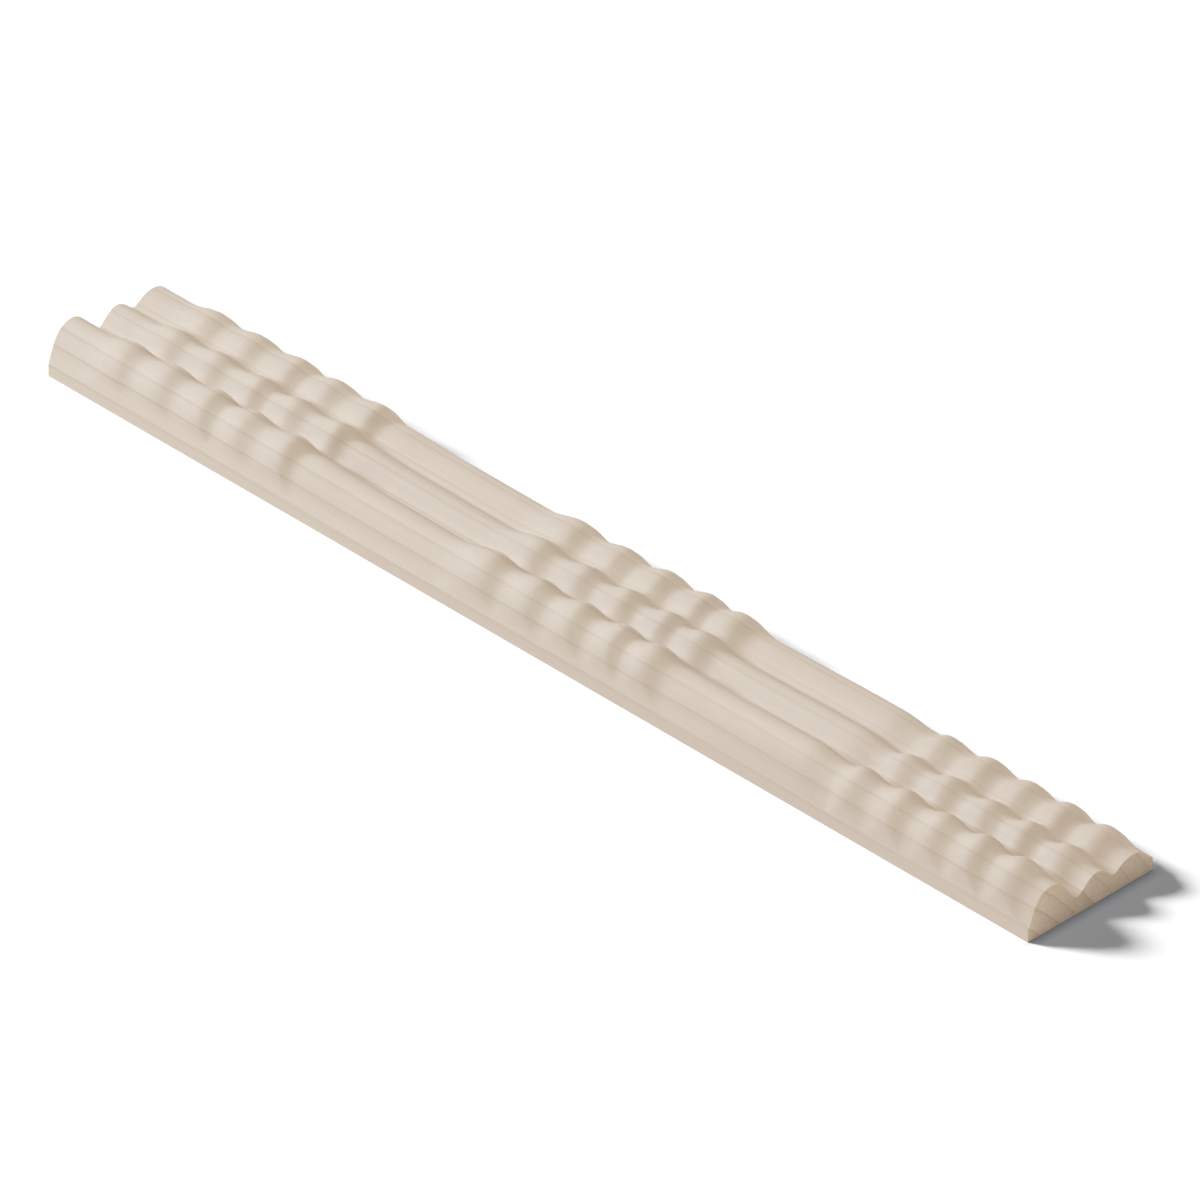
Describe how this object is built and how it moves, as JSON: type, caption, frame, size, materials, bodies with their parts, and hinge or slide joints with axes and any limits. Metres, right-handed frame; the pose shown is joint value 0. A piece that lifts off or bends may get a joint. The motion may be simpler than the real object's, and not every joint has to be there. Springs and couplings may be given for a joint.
{
  "type": "ripple moulding",
  "caption": "Flat-backed strip of solid wood whose three rounded ridges carry bunches of cross ripples, for trimming frames, panels and furniture.",
  "frame": {"origin": "middle of the flat back, which is the bottom face as the moulding lies", "axes": "+X along the length, +Y from the high front ridge to the low back ridge, +Z out of the flat back"},
  "size_m": [0.6096, 0.0778, 0.0303],
  "materials": {
    "wood": "bare wood, cut and sanded, no stain or varnish"
  },
  "bodies": {
    "root": {"ripple_moulding": "wood"}
  },
  "joints": []
}
